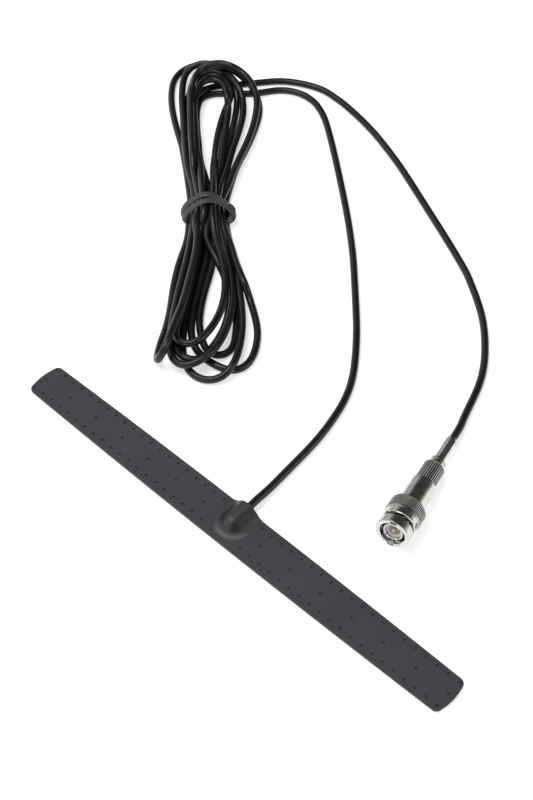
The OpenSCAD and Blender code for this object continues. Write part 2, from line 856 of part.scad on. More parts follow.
antenna_cover();
antenna_film();
live_arm();
ground_arm();
adhesive_tape();
antenna_cable_end();
core_solder();
braid_solder();
cable_lead();
cable_hank();
cable_tail();
cable_tie();
plug_cable_end();
crimp_ferrule();
crimp_stem();
clamp_nut();
cable_seal();
rear_barrel();
plug_body();
insulator();
centre_pin();
face_gasket();
wave_washer();
thrust_washer();
retaining_ring();
coupling_sleeve();
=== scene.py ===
"""Looks for the stick-on strip antenna: its cable in a tied hank, its tie, its wave washer
and every finish. Lengths of the cable and the tie are millimetres in the part's frame, and those
of the finishes, the camera and the lamps are metres."""

import json
import math

import bmesh
import bpy
import numpy as np
from mathutils import Matrix, Vector


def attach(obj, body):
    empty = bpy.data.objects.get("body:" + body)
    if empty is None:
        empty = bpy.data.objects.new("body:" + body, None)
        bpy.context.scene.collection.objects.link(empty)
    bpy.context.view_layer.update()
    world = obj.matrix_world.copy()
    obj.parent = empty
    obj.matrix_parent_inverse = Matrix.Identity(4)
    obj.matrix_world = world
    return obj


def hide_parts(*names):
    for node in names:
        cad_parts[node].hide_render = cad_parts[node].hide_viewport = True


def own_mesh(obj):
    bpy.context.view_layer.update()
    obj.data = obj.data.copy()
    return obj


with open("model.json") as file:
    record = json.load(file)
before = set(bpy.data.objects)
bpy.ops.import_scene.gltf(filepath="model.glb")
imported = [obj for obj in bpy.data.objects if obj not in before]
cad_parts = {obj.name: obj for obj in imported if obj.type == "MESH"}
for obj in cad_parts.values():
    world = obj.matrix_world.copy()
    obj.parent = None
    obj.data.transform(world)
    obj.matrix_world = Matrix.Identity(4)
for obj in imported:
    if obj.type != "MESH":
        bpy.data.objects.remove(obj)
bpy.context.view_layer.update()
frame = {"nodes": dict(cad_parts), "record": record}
nodes = frame["nodes"]

MM = 0.001
BODY = "antenna"

# ---------------------------------------------------------------- camera
IMAGE_LONG = 800
FOCAL_PIXELS = 1552.17
SENSOR = 36.0
CLIP_NEAR, CLIP_FAR = 0.05, 20
EYE = Vector((0.22786, -0.22501, 0.46783))
LOOK = Vector((-0.43064, 0.46000, -0.77650))
UP = Vector((-0.53068, 0.56686, 0.63012))

camera_data = bpy.data.cameras.new("camera")
camera_data.sensor_width = SENSOR
camera_data.lens = FOCAL_PIXELS / IMAGE_LONG * SENSOR
camera_data.clip_start, camera_data.clip_end = CLIP_NEAR, CLIP_FAR
camera = bpy.data.objects.new("camera", camera_data)
bpy.context.scene.collection.objects.link(camera)
right = LOOK.cross(UP).normalized()
up = right.cross(LOOK).normalized()
turned_to = Matrix((right, up, -LOOK.normalized())).transposed().to_4x4()
camera.matrix_world = Matrix.Translation(EYE) @ turned_to
bpy.context.scene.camera = camera

# ---------------------------------------------------------------- cable
CABLE_D = 3.1
LIE_Z = 1.6
LEAD = [(0, 8.7, 3.2), (-0.4, 14, 2.9), (-0.8, 21, 2.2)] + [(x, y, LIE_Z) for x, y in (
    (-2, 34), (-2.8, 44.2), (-3.9, 52.9), (-5.6, 61.3), (-7.8, 69.3), (-10.8, 76.8), (-14.6, 83.6),
    (-19.1, 90), (-24, 96.3), (-29.1, 102.4), (-34.5, 108.4), (-45.9, 120.6), (-57.8, 133),
    (-70.8, 145.3), (-84.7, 157.5), (-99.4, 169.9), (-107, 176.2), (-114.7, 182.4), (-122.8, 188.5),
    (-128.2, 191.7), (-132.7, 193.7), (-137, 195.1), (-141.4, 195.8))]
PLUG_LEAN, PLUG_HEADING = math.radians(6), math.radians(-75.6)
PLUG_ENTRY = (34.5, 84, 2.932)
TAIL = [PLUG_ENTRY, (32.7, 91, 2.3), (30.6, 96.5, 1.8)] + [(x, y, LIE_Z) for x, y in (
    (28.3, 103.1), (25.6, 110.9), (22.3, 118.2), (18.2, 125), (13.5, 131.3), (8.3, 137.4),
    (2.5, 143.1), (-4, 148.4), (-10.9, 153.4), (-18.2, 158.2), (-34.6, 166.8), (-52, 175.4),
    (-69.9, 184.2), (-79.3, 188.6), (-89.1, 192.7), (-99.5, 196.6), (-111, 200), (-123.3, 202.6),
    (-129.4, 203.3), (-133.3, 203.6), (-136.9, 203.5), (-140.3, 203.1), (-143.5, 202.5))]
# The hank's own frame: u across it and v along it, from the tie at HANK_PLACE. Its turns
# are drawn as they are seen on a level SEEN above the floor, and slide along their sight
# lines as they settle. Each point is (u, v, first height).
HANK_PLACE = (-120, 110)
HANK_TURN = math.radians(43.1)
SEEN = 4.0
TURNS = {
    "lead": [(31.7, 78.4, 1.6), (28.4, 77.4, 1.6), (25.2, 76, 1.6), (20.8, 74.6, 1.5),
             (16, 74.4, 1.5), (10.5, 74.8, 1.6), (5, 74.6, 3.4), (0, 74.4, 5.2), (-3.6, 72.8, 6),
             (-6, 69, 6.4), (-7, 63, 6.6), (-6.6, 52, 6.2), (-5.6, 40, 6.4), (-4.4, 28, 6.4)],
    "tail": [(32.1, 84.4, 1.6), (26.6, 83.4, 1.6), (19.5, 82.2, 1.6), (14, 81.4, 1.8),
             (9, 80.8, 3.2), (4, 80.2, 4.8), (-0.8, 79, 6), (-4.8, 76.4, 6.8), (-7.8, 71.6, 6.6),
             (-8.9, 64, 6.2), (-8.9, 52, 5.6), (-8.3, 40, 5.2), (-7, 28, 5)],
    "over_1": [(11.2, 25, 4.6), (14.6, 36, 5.8), (18, 48, 6.5), (20.1, 60, 7), (20.6, 70, 8),
               (19, 79, 9.4), (16, 86.5, 10), (11, 92.6, 10), (4.5, 96.3, 9.8), (-1, 96, 9.6),
               (-5.2, 92.4, 9), (-8, 86.5, 8.6), (-9.3, 79, 8.6), (-9.6, 70, 8.4), (-9.3, 60, 8.2),
               (-8.7, 48, 7.8), (-7.5, 34, 7.6)],
    "over_2": [(11.6, 24, 1.5), (15.6, 36, 1.5), (19.2, 48, 1.5), (21.6, 60, 1.6), (21.2, 69, 4),
               (18.6, 78.5, 6.4), (14.3, 86, 7), (9, 91.5, 7), (2.5, 94.9, 6.8), (-4, 96.4, 6.2),
               (-9.3, 94.2, 6), (-12.2, 89, 6), (-13.5, 82, 5.8), (-13.6, 72, 5.6),
               (-12.7, 60, 5.5), (-11.5, 48, 5), (-10, 34, 4.8)],
    "over_3": [(7.6, 24, 4.6), (9.8, 36, 5), (12.4, 48, 5.2), (14.1, 58, 5.6), (14.4, 66, 6.6),
               (13.5, 74, 7.6), (11.2, 81.5, 7.4), (8, 87.3, 6.4), (3.8, 92, 4.4),
               (-2.5, 94.6, 3.5), (-9, 94.5, 2.4), (-14.2, 90.6, 1.8), (-17.4, 84.8, 1.6),
               (-18.5, 77, 1.5), (-18.2, 68, 1.5), (-16.8, 58, 1.5), (-14.2, 46, 1.5),
               (-11.5, 34, 1.5)],
    "over_4": [(2, 26, 6), (2.6, 40, 3.6), (4, 52, 1.8), (6, 62, 1.5), (8, 71, 4.4), (8, 78, 6.6),
               (6.3, 83.6, 6.8), (3.6, 87.4, 6.6), (0, 88.9, 6.2), (-3.8, 87.2, 5.8),
               (-6.8, 82.2, 5.8), (-8.2, 75.5, 5.6), (-8.2, 66, 5.2), (-7.9, 54, 4.6),
               (-7.2, 40, 4.4)],
    "over_5": [(4.6, 26, 4.4), (5.6, 40, 4.4), (6.8, 52, 5), (7.4, 62, 6), (7.2, 70, 8),
               (6.2, 77, 9.4), (3.8, 82.8, 9.4), (0.2, 85.9, 9.4), (-3.6, 83.8, 9),
               (-6.3, 79.2, 8.6), (-7.9, 73, 8.4), (-7.9, 62, 7.4), (-6.9, 50, 7),
               (-5.9, 36, 6.4)],
    "over_6": [(6.2, 26, 1.5), (8, 40, 1.5), (10, 52, 1.5), (11.2, 62, 1.5), (11.5, 70, 4.2),
               (10.6, 78, 5), (8.3, 84.5, 4.2), (4.8, 90, 2.2), (0.4, 93, 1.6), (-4, 92.2, 1.5),
               (-7.4, 87.8, 1.6), (-9.4, 80, 2), (-10.4, 70, 2.4), (-10.6, 58, 2.4),
               (-9.8, 44, 1.8), (-8, 30, 1.6)],
    "under_1": [(-8.4, -20, 1.5), (-10.6, -30, 1.5), (-12.3, -40, 1.5), (-13.3, -50, 1.5),
                (-14, -60, 1.5), (-15.4, -70, 1.5), (-17, -77, 1.6), (-17.8, -82.6, 2.8),
                (-17.8, -85.4, 6.4), (-17, -84.2, 10.8), (-15.5, -79.8, 13.4), (-13.6, -73, 14),
                (-11.6, -65, 12.8), (-9, -55, 10.6), (-6.5, -40, 9), (-5, -30, 8.6),
                (-4.2, -20, 8.4)],
    "under_2": [(-7, -22, 4.4), (-8.9, -36, 4.4), (-11, -50, 4.4), (-12.4, -62, 4.4),
                (-13.2, -72, 4.2), (-13, -80, 4.4), (-11.3, -85.6, 5.4), (-7.8, -88.5, 6.6),
                (-2.5, -86.6, 8), (2.3, -82.6, 9), (6.2, -76.5, 9), (9.2, -68, 8.4),
                (11, -58, 7.4), (11.2, -48, 6.8), (9.8, -36, 6.2), (7.4, -22, 6)],
    "under_3": [(-4.6, -22, 1.6), (-6.4, -36, 1.6), (-8.6, -50, 1.6), (-10.2, -62, 1.6),
                (-11, -72, 1.6), (-10.6, -79.5, 1.6), (-8.2, -84.6, 1.8), (-4.2, -86.2, 2.4),
                (0.2, -83.6, 3), (4, -78.4, 4.6), (7.6, -70, 5.4), (9.6, -60, 5), (9.6, -49, 4.6),
                (7.2, -39, 4.6), (4, -30, 5), (1, -22, 6.6), (-1, -14, 8.2)],
    "under_4": [(-3.2, -22, 4.6), (-5.2, -36, 5.2), (-7.4, -50, 6), (-9.4, -61, 7),
                (-10.9, -69, 8.2), (-10.9, -74.6, 9.8), (-7.9, -77.6, 11), (-3.5, -76.4, 11.6),
                (0.4, -72.3, 11.4), (4, -66.3, 10.6), (6.8, -58, 9.6), (8, -49, 8.8),
                (7.8, -40, 8.4), (5.9, -28, 8.4), (3.2, -16, 9)],
    "under_5": [(-2.2, -24, 1.6), (-4.8, -38, 1.6), (-6.4, -50, 1.6), (-7.6, -62, 1.6),
                (-8.4, -73, 1.6), (-8, -82, 1.6), (-6.2, -89.2, 1.6), (-2.2, -94.3, 1.6),
                (3, -96, 1.8), (8, -93.8, 3.6), (11.6, -88.6, 6), (14, -80.6, 6), (15.2, -70, 5.4),
                (15, -59, 3.6), (13.8, -47, 2.2), (11.6, -34, 1.6), (8.6, -20, 1.6)],
    "under_6": [(0.4, -20, 1.6), (-0.4, -32, 1.6), (-3, -46, 1.6), (-5, -58, 1.6),
                (-5.2, -69, 1.6), (-3.8, -77.5, 1.6), (-0.6, -83.4, 1.6), (4.2, -87.6, 1.6),
                (9.6, -90.6, 1.8), (14.6, -90.3, 3.2), (18.5, -86.2, 4.2), (20.8, -79, 3.4),
                (21.4, -70, 2.2), (19.8, -60, 1.8), (17.3, -50, 2), (13.9, -38, 3.8),
                (9.9, -24, 4.9)],
    "under_7": [(2, -15, 4.6), (2.8, -23, 4.4), (2.7, -32, 4.4), (1.4, -41, 4.2), (-0.4, -50, 3.8),
                (-1.7, -60, 3.6), (-1.6, -69, 3.4), (0.2, -77, 3.4), (3.2, -82.4, 3.6),
                (7, -84, 4), (10.4, -81, 4), (12.4, -74.6, 3.4), (13, -66, 2.2), (12.9, -56, 1.8),
                (12, -44, 1.6), (9.6, -31, 1.6), (6.6, -18, 1.6)],
}
# Order of the turns from the lead to the tail; a minus sign runs a turn backwards
WINDING = ["lead", "under_7", "over_6", "under_3", "over_5", "under_4", "over_4", "under_5",
           "over_2", "under_2", "over_3", "under_1", "-over_1", "-under_6", "-tail"]
# Where each strand passes under the tie, in the winding's order: (u, height)
UNDER_TIE = [(1.9, 4.95), (3.8, 2.5), (-3.8, 2.5), (0, 7.4), (-1.9, 9.85), (1.9, 9.85),
             (0, 2.5), (7.6, 2.5), (-5.7, 4.95), (3.8, 7.4), (-7.6, 2.5), (-3.8, 7.4),
             (5.7, 4.95), (-1.9, 4.95)]
TIE_T = 0.8
TIE_HALF = 2.5
# Half of the stretch at the waist that every strand runs straight through
STRAIGHT_HALF = 4
# Distance between the hank's points as it settles, and between the cable's in the end
STEP = 2.0
CABLE_STEP = 2 * STEP
# Points at each side of the hank's ends that are smoothed where it joins the free stretches
JOIN_REACH, JOIN_ROUNDS = 4, 3

# Settling: its rounds, how often neighbours are looked for and how much more than touching
# counts as near, and how many diameters along the cable two points are before they can touch
ROUNDS, SEARCH_EVERY = 420, 8
NEAR_BY = 1.6
TOUCH_AFTER = 3.2
# What every point sinks in the first round, and the shares by which a round evens out its bend,
# levels it and takes it back to its drawing, which is less in a stretch beside the tie
SINK, EVEN_OUT, LEVEL_OUT = 0.012, 0.25, 0.05
HOLD, HOLD_BESIDE_TIE = 0.03, 0.01
BESIDE_TIE = (5, 26)
# Links are kept longer than a share of a step, and no point may stand further than SAG_MOST
# off the chord of its neighbours SAG_SPAN steps away
LINK_PASSES, LINK_LEAST, LINK_EASE = 3, 0.85, 0.2
SHORTEST_LINK = 0.2
SAG_SPAN, SAG_MOST, SAG_EASE = 3, 2.3, 0.3
# Strands that touch part by a share of their overlap, and upward more than sideways
TOUCH_PASSES, TOUCH_EASE, UPWARD, GAIN_LEAST = 2, 0.15, 3, 0.3
# Room between the tie's underside and the strands on it, and how many half widths of the tie
# away from it they are down on the floor again
TIE_ROOM, RAMP_END = 0.1, 2.6
TINY = 1e-6
CABLE_SIDES, CABLE_SMOOTHNESS = 6, 3


def blend(points, parts=10):
    """A smooth (Catmull-Rom) curve through the points, with parts steps on each stretch."""
    points = np.array(points, float)
    out, last = [], len(points) - 1
    for i in range(last):
        a, b, c, d = (points[max(i - 1, 0)], points[i], points[i + 1], points[min(i + 2, last)])
        for u in np.linspace(0, 1, parts, endpoint=False):
            out.append(0.5 * (2 * b + (c - a) * u + (2 * a - 5 * b + 4 * c - d) * u * u
                              + (3 * b - a - 3 * c + d) * u ** 3))
    return np.array(out + [points[-1]])


def blend_any(rows, parts):
    """Rows of several values, with straight steps between them."""
    rows = np.array(rows, float)
    at = np.linspace(0, len(rows) - 1, (len(rows) - 1) * parts + 1)
    return np.column_stack([np.interp(at, range(len(rows)), column) for column in rows.T])


def evenly(line, step):
    """The line again, with its points the same distance apart."""
    along = np.concatenate([[0], np.cumsum(np.linalg.norm(np.diff(line, axis=0), axis=1))])
    at = np.linspace(0, along[-1], max(2, int(round(along[-1] / step)) + 1))
    return np.column_stack([np.interp(at, along, line[:, k]) for k in range(3)])


HANK_AXES = np.array([[math.cos(HANK_TURN), math.sin(HANK_TURN)],
                      [-math.sin(HANK_TURN), math.cos(HANK_TURN)]])
EYE_IN_HANK = HANK_AXES @ (np.array(EYE[:2]) / MM - HANK_PLACE)
EYE_HEIGHT = EYE[2] / MM


def on_sight_line(drawn, z):
    """Where a drawn point lies in plan once it is at height z."""
    share = (EYE_HEIGHT - z) / (EYE_HEIGHT - SEEN)
    return EYE_IN_HANK + (drawn - EYE_IN_HANK) * share[:, None]


def settle(line):
    """The hank's turns laid down: they stay near their drawing, sink, bend evenly and part
    where they touch, and those at the waist lie on the tie."""
    drawn, p = line[:, :2].copy(), line.copy()
    p[:, :2] = on_sight_line(drawn, p[:, 2])
    first, count = p.copy(), len(p)
    skip = int(math.ceil(TOUCH_AFTER * CABLE_D / STEP))
    span = 2 * SAG_SPAN
    for r in range(ROUNDS):
        if r % SEARCH_EVERY == 0:
            near = np.ones((count, count), bool)
            for k in range(3):
                near &= np.abs(p[:, None, k] - p[None, :, k]) < CABLE_D + NEAR_BY
            i, j = np.nonzero(np.triu(near, skip))
        p[:, 2] -= SINK * (1 - r / ROUNDS)
        bend = np.zeros_like(p)
        bend[2:-2] = (4 * (p[1:-3] + p[3:-1]) - p[:-4] - p[4:]) / 6 - p[2:-2]
        p += EVEN_OUT * bend
        p[1:-1, 2] += LEVEL_OUT * ((p[:-2, 2] + p[2:, 2]) / 2 - p[1:-1, 2])
        from_tie = np.abs(p[:, 1])
        beside = (from_tie > BESIDE_TIE[0]) & (from_tie < BESIDE_TIE[1])
        hold = np.where(beside, HOLD_BESIDE_TIE, HOLD)[:, None]
        p[:, :2] += hold * (on_sight_line(drawn, p[:, 2]) - p[:, :2])
        for _ in range(LINK_PASSES):
            link = p[1:] - p[:-1]
            length = np.maximum(np.linalg.norm(link, axis=1)[:, None], SHORTEST_LINK)
            slack = LINK_EASE * np.minimum(1 - LINK_LEAST * STEP / length, 0) * link
            p[:-1] += slack
            p[1:] -= slack
            sag = p[SAG_SPAN:-SAG_SPAN] - (p[:-span] + p[span:]) / 2
            deep = np.linalg.norm(sag, axis=1)
            excess = np.maximum(deep - SAG_MOST, 0) / np.maximum(deep, TINY)
            ease = SAG_EASE * sag * excess[:, None]
            p[SAG_SPAN:-SAG_SPAN] -= ease
            p[:-span] += ease / 2
            p[span:] += ease / 2
        for _ in range(TOUCH_PASSES):
            apart = p[i] - p[j]
            far = np.linalg.norm(apart, axis=1)
            hit = far < CABLE_D
            a, b, apart, far = i[hit], j[hit], apart[hit], np.maximum(far[hit], TINY)
            way = apart * (1, 1, UPWARD)
            way /= np.maximum(np.linalg.norm(way, axis=1), TINY)[:, None]
            gain = np.maximum((way * apart).sum(1) / far, GAIN_LEAST)
            push = (TOUCH_EASE * (CABLE_D - far) / gain)[:, None] * way
            np.add.at(p, a, push)
            np.add.at(p, b, -push)
        ramp = np.clip(RAMP_END - np.abs(p[:, 1]) / TIE_HALF, 0, 1)
        on_tie = (TIE_T + TIE_ROOM) * ramp * ramp * (3 - 2 * ramp)
        p[:, 2] = np.maximum(p[:, 2], CABLE_D / 2 + on_tie)
        p[:2], p[-2:] = first[:2], first[-2:]
    return p


turns = []
for name, (u, z) in zip(WINDING, UNDER_TIE + [(None, None)]):
    stretch = TURNS[name.lstrip("-")][:: -1 if name.startswith("-") else 1]
    turns += stretch
    if u is not None:
        v = math.copysign(STRAIGHT_HALF, stretch[-1][1])
        turns += [(u, v, z), (u, -v, z)]
hank = settle(evenly(blend(turns, 12), STEP))
hank_plan = np.array(HANK_PLACE) + hank[:, :2] @ HANK_AXES
hank_row = np.column_stack([hank_plan, hank[:, 2]])
lead_in = evenly(blend(LEAD + [tuple(hank_row[0])]), CABLE_STEP)[:-1]
tail_out = evenly(blend(TAIL + [tuple(hank_row[-1])]), CABLE_STEP)[::-1]
route = np.concatenate([lead_in, hank_row[:-2:2], tail_out])
for join in (len(lead_in), len(route) - len(tail_out)):
    start, end = join - JOIN_REACH, join + JOIN_REACH + 1
    for _ in range(JOIN_ROUNDS):
        between = (route[start - 1:end - 1] + route[start + 1:end + 1]) / 2
        route[start:end] += 0.5 * (between - route[start:end])
route *= MM


def own(obj):
    bpy.context.scene.collection.objects.link(obj)
    return obj


def curve_through(name, points, radius):
    """A round cable through the points, one open spline with closed ends."""
    data = bpy.data.curves.new(name, "CURVE")
    data.dimensions = "3D"
    data.bevel_depth, data.bevel_resolution, data.use_fill_caps = radius, CABLE_SIDES, True
    spline = data.splines.new("BEZIER")
    spline.bezier_points.add(len(points) - 1)
    for point, place in zip(spline.bezier_points, points):
        point.co = place
        point.handle_left_type = point.handle_right_type = "AUTO"
    spline.resolution_u = CABLE_SMOOTHNESS
    return own(bpy.data.objects.new(name, data))


cable = curve_through("cable", route, CABLE_D / 2 * MM)

# ---------------------------------------------------------------- finishes
# Plug's own frame: its entry, and the turn that brings +Z onto its axis
PLUG_TURN = (0, math.pi / 2 - PLUG_LEAN, PLUG_HEADING)
# Noise scales are per metre. Of the noise's values, those between the limits of a range count
CLOUDS, SPECKS, FILM_CLOUDS = 45.0, 900.0, 260.0
TONE_RANGE, SPECK_RANGE = (0.38, 0.62), (0.66, 0.74)
CLOUD_RANGE, WEAR_RANGE = (0.35, 0.65), (0.36, 0.64)
GRAIN_DEPTH, MARK_DEPTH = 0.0001, 0.00002
# The boss, in the part's frame: where its round nose begins, and how far from its middle the
# rubbed hump, its flanks with painted shade and its skirt with a painted highlight begin and end
NOSE_STARTS = 0.0008
HUMP_ENDS = (0.0056, 0.0076)
SHADED_FLANK_BEGINS, SHADED_FLANK_ENDS = (0.001, 0.0024), (0.0042, 0.0056)
HIGHLIT_SKIRT_BEGINS, HIGHLIT_SKIRT_ENDS = (0.005, 0.006), (0.0068, 0.0078)
HIGHLIT_SKIRT_SIDE = (0.45, -0.9)
HIGHLIT_SKIRT_FADES_IN = (0.001, 0.0045)
# The plug's worked stretches, in its own frame: outer radius and both ends along its axis
WORKED = (("Knurl Radius", 0.0071, 0.0394, 0.0444), ("Flute Radius", 0.0042, 0.0164, 0.0258),
          ("Neck Radius", 0.0065, 0.0479, 0.0497))
# Depth below the outer radius where the painted shade in the grooves grows and where a crest ends
GROOVE_SHADE_DEPTH, CREST_DEPTH = (0.00006, 0.00022), (0.00004, 0.00014)
GROOVE_SHADE_DEEPEST = 0.0008

SURFACE_RESULTS = [("Color", "NodeSocketColor"), ("Roughness", "NodeSocketFloat"),
                   ("Normal", "NodeSocketVector")]


def finish_named(name, metallic=0.0, specular=0.5):
    """A material with its shader; what is the same all over is set on the shader itself."""
    material = bpy.data.materials.new(name)
    material.use_nodes = True
    shader = material.node_tree.nodes["Principled BSDF"]
    shader.inputs["Metallic"].default_value = metallic
    shader.inputs["Specular IOR Level"].default_value = specular
    return material, material.node_tree, shader


def group_of(name, inputs, outputs):
    """An empty shader group with its sockets: (name, kind, default)."""
    tree = bpy.data.node_groups.new(name, "ShaderNodeTree")
    for label, kind, value in inputs:
        socket = tree.interface.new_socket(label, in_out="INPUT", socket_type=kind)
        if value is not None:
            socket.default_value = value
    for label, kind in outputs:
        tree.interface.new_socket(label, in_out="OUTPUT", socket_type=kind)
    return tree, tree.nodes.new("NodeGroupInput"), tree.nodes.new("NodeGroupOutput")


def feed(tree, socket, given):
    """Sets a number or a colour on the socket, or links another node's output to it."""
    if isinstance(given, (int, float, tuple)):
        socket.default_value = given
    else:
        tree.links.new(given, socket)


def noise(tree, vector, scale, detail, dimensions="3D"):
    node = tree.nodes.new("ShaderNodeTexNoise")
    node.noise_dimensions = dimensions
    node.inputs["Detail"].default_value = detail
    tree.links.new(vector, node.inputs["W" if dimensions == "1D" else "Vector"])
    feed(tree, node.inputs["Scale"], scale)
    return node.outputs["Fac"]


def spread(tree, value, low, high, out_low, out_high):
    """value from low..high onto out_low..out_high, held at its ends."""
    node = tree.nodes.new("ShaderNodeMapRange")
    for label, given in (("Value", value), ("From Min", low), ("From Max", high),
                         ("To Min", out_low), ("To Max", out_high)):
        feed(tree, node.inputs[label], given)
    return node.outputs["Result"]


def rises(tree, value, low, high):
    return spread(tree, value, low, high, 0.0, 1.0)


def falls(tree, value, low, high):
    return spread(tree, value, low, high, 1.0, 0.0)


def reckon(tree, how, a, b=0.0):
    node = tree.nodes.new("ShaderNodeMath")
    node.operation = how
    feed(tree, node.inputs[0], a)
    feed(tree, node.inputs[1], b)
    return node.outputs[0]


def times(tree, a, b):
    return reckon(tree, "MULTIPLY", a, b)


def weighed(tree, a, share_a, b, share_b):
    return reckon(tree, "ADD", times(tree, a, share_a), times(tree, b, share_b))


def length_of(tree, a, b):
    return reckon(tree, "SQRT", reckon(tree, "ADD", times(tree, a, a), times(tree, b, b)))


def split(tree, vector):
    node = tree.nodes.new("ShaderNodeSeparateXYZ")
    tree.links.new(vector, node.inputs[0])
    return [node.outputs[axis] for axis in "XYZ"]


def blend_colour(tree, share, a, b):
    node = tree.nodes.new("ShaderNodeMix")
    node.data_type = "RGBA"
    tree.links.new(share, node.inputs["Factor"])
    for label, given in (("A", a), ("B", b)):
        feed(tree, [i for i in node.inputs if i.name == label and i.type == "RGBA"][0], given)
    return [o for o in node.outputs if o.type == "RGBA"][0]


def raised(tree, height, strength, distance):
    node = tree.nodes.new("ShaderNodeBump")
    node.inputs["Distance"].default_value = distance
    tree.links.new(height, node.inputs["Height"])
    feed(tree, node.inputs["Strength"], strength)
    return node.outputs["Normal"]


def give(tree, made, **results):
    for label, result in results.items():
        tree.links.new(result, made.inputs[label])


def grained_surface():
    """Moulded or extruded surface: fine grain, cloudy tone and specks of dust."""
    tree, given, made = group_of("moulded_grain", [
        ("Vector", "NodeSocketVector", None),
        ("Grain Scale", "NodeSocketFloat", 3000.0),
        ("Relief", "NodeSocketFloat", 0.3),
        ("Light Tone", "NodeSocketColor", (0.06, 0.06, 0.06, 1)),
        ("Dark Tone", "NodeSocketColor", (0.03, 0.03, 0.03, 1)),
        ("Dust Tone", "NodeSocketColor", (0.3, 0.3, 0.3, 1)),
        ("Dust", "NodeSocketFloat", 0.1),
        ("Smooth", "NodeSocketFloat", 0.4),
        ("Rough", "NodeSocketFloat", 0.6),
    ], SURFACE_RESULTS)
    place, ask = given.outputs["Vector"], given.outputs
    grain = noise(tree, place, ask["Grain Scale"], 3.0)
    cloud = noise(tree, place, CLOUDS, 3.0)
    speck = noise(tree, place, SPECKS, 1.0)
    tone = rises(tree, weighed(tree, cloud, 0.6, grain, 0.4), *TONE_RANGE)
    colour = blend_colour(tree, tone, ask["Dark Tone"], ask["Light Tone"])
    dusty = times(tree, rises(tree, speck, *SPECK_RANGE), ask["Dust"])
    give(tree, made, Color=blend_colour(tree, dusty, colour, ask["Dust Tone"]),
         Roughness=spread(tree, cloud, *CLOUD_RANGE, ask["Smooth"], ask["Rough"]),
         Normal=raised(tree, grain, ask["Relief"], GRAIN_DEPTH))
    return tree


def turned_surface():
    """Plated and turned metal: fine marks round the axis and a cloudy film."""
    tree, given, made = group_of("turned_marks", [
        ("Vector", "NodeSocketVector", None),
        ("Mark Scale", "NodeSocketFloat", 9000.0),
        ("Relief", "NodeSocketFloat", 0.2),
        ("Bright Tone", "NodeSocketColor", (0.8, 0.8, 0.8, 1)),
        ("Dull Tone", "NodeSocketColor", (0.6, 0.6, 0.6, 1)),
        ("Smooth", "NodeSocketFloat", 0.1),
        ("Rough", "NodeSocketFloat", 0.3),
    ], SURFACE_RESULTS)
    place, ask = given.outputs["Vector"], given.outputs
    marks = noise(tree, split(tree, place)[2], ask["Mark Scale"], 3.0, "1D")
    cloud = noise(tree, place, FILM_CLOUDS, 4.0)
    worn = weighed(tree, cloud, 0.7, marks, 0.3)
    clear = rises(tree, cloud, *CLOUD_RANGE)
    give(tree, made, Color=blend_colour(tree, clear, ask["Dull Tone"], ask["Bright Tone"]),
         Roughness=spread(tree, worn, *WEAR_RANGE, ask["Smooth"], ask["Rough"]),
         Normal=raised(tree, marks, ask["Relief"], MARK_DEPTH))
    return tree


def boss_rub_and_painted_light():
    """Masks on the boss: 1 where the hump was rubbed, on its flanks for painted shade, and on the
    skirt round its nose for a painted highlight."""
    tree, given, made = group_of("boss_rub_and_painted_light", [("Vector", "NodeSocketVector", None)], [
        (label, "NodeSocketFloat") for label in ("Hump", "Flank", "Skirt")])
    x, y, _ = split(tree, given.outputs["Vector"])
    across = reckon(tree, "ABSOLUTE", x)
    ahead = reckon(tree, "MINIMUM", reckon(tree, "SUBTRACT", y, NOSE_STARTS), 0.0)
    reach = length_of(tree, across, ahead)
    # Flanks of the boss, darkened as painted shade
    shaded_flank = times(tree, rises(tree, across, *SHADED_FLANK_BEGINS), falls(tree, reach, *SHADED_FLANK_ENDS))
    # Skirt round the nose, lightened as a painted highlight
    highlit_skirt = times(tree, rises(tree, reach, *HIGHLIT_SKIRT_BEGINS), falls(tree, reach, *HIGHLIT_SKIRT_ENDS))
    side = weighed(tree, x, HIGHLIT_SKIRT_SIDE[0], y, HIGHLIT_SKIRT_SIDE[1])
    give(tree, made, Hump=falls(tree, reach, *HUMP_ENDS), Flank=shaded_flank,
         Skirt=times(tree, highlit_skirt, rises(tree, side, *HIGHLIT_SKIRT_FADES_IN)))
    return tree


def ridge_shade():
    """Painted shade in the bottoms of the knurl, the flutes and the neck, and the rubbed crests of
    the ridges, in the plug's own frame."""
    tree, given, made = group_of("ridge_shade", [("Vector", "NodeSocketVector", None)] + [
        (label, "NodeSocketFloat", radius) for label, radius, _, _ in WORKED], [
        (label, "NodeSocketFloat") for label in ("Film", "Crest")])
    x, y, z = split(tree, given.outputs["Vector"])
    radius = length_of(tree, x, y)
    film = crest = 0.0
    for label, _, start, end in WORKED:
        depth = reckon(tree, "SUBTRACT", given.outputs[label], radius)
        inside = times(tree, reckon(tree, "GREATER_THAN", z, start),
                       reckon(tree, "LESS_THAN", z, end))
        # Painted shade in the bottoms between the ridges
        dull = times(tree, rises(tree, depth, *GROOVE_SHADE_DEPTH), inside)
        dull = times(tree, dull, reckon(tree, "LESS_THAN", depth, GROOVE_SHADE_DEEPEST))
        film = reckon(tree, "MAXIMUM", dull, film)
        top = times(tree, falls(tree, depth, *CREST_DEPTH), inside)
        crest = reckon(tree, "MAXIMUM", top, crest)
    give(tree, made, Film=film, Crest=crest)
    return tree


MOULDED, TURNED = grained_surface(), turned_surface()
RUB_AND_PAINTED_LIGHT, RIDGES = boss_rub_and_painted_light(), ridge_shade()


